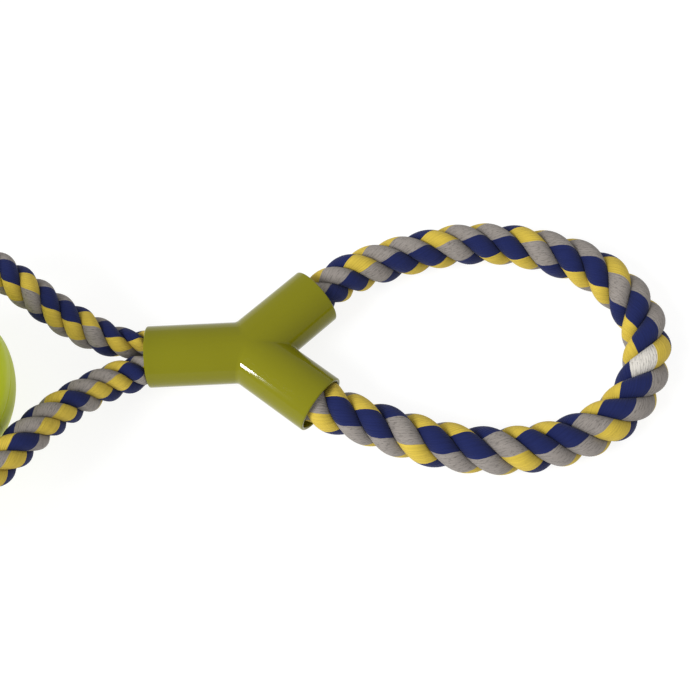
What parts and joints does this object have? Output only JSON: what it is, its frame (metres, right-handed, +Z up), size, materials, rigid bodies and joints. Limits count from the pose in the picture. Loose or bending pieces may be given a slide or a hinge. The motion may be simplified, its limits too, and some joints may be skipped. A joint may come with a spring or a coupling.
{
  "type": "rope tug toy with ball",
  "caption": "Twisted rope tug toy: hollow ball between two rope runs, Y-shaped couplers and a hand loop at each end.",
  "frame": {"origin": "on the floor under the middle of the ball, which is also the middle of the toy", "axes": "+X towards the right-hand loop along the couplers' stems, +Z up from the floor; half a turn about Z gives the same toy"},
  "size_m": [0.761, 0.1912, 0.1],
  "materials": {
    "coupler_plastic": "glossy lime green moulded plastic",
    "ball_plastic": "lime green soft plastic with a dull gloss",
    "rope_yarn": "twisted cotton strands in yellow, heather grey and navy"
  },
  "bodies": {
    "rope": {"right_loop_rope": "rope_yarn", "left_loop_rope": "rope_yarn", "back_run_rope": "rope_yarn", "front_run_rope": "rope_yarn"},
    "right_coupler": {"right_coupler": "coupler_plastic"},
    "left_coupler": {"left_coupler": "coupler_plastic"},
    "ball": {"ball_lower_half": "ball_plastic", "ball_upper_half": "ball_plastic"}
  },
  "joints": [
    {"name": "ball_spin", "type": "hinge", "parent": "rope", "child": "ball", "pos_m": [0, 0, 0.05], "axis": [0, 0, 1], "continuous": true},
    {"name": "right_coupler_slide", "type": "slide", "parent": "rope", "child": "right_coupler", "axis": [1, 0, 0], "range_m": [0, 0.005]},
    {"name": "left_coupler_slide", "type": "slide", "parent": "rope", "child": "left_coupler", "axis": [-1, 0, 0], "range_m": [0, 0.005]}
  ]
}
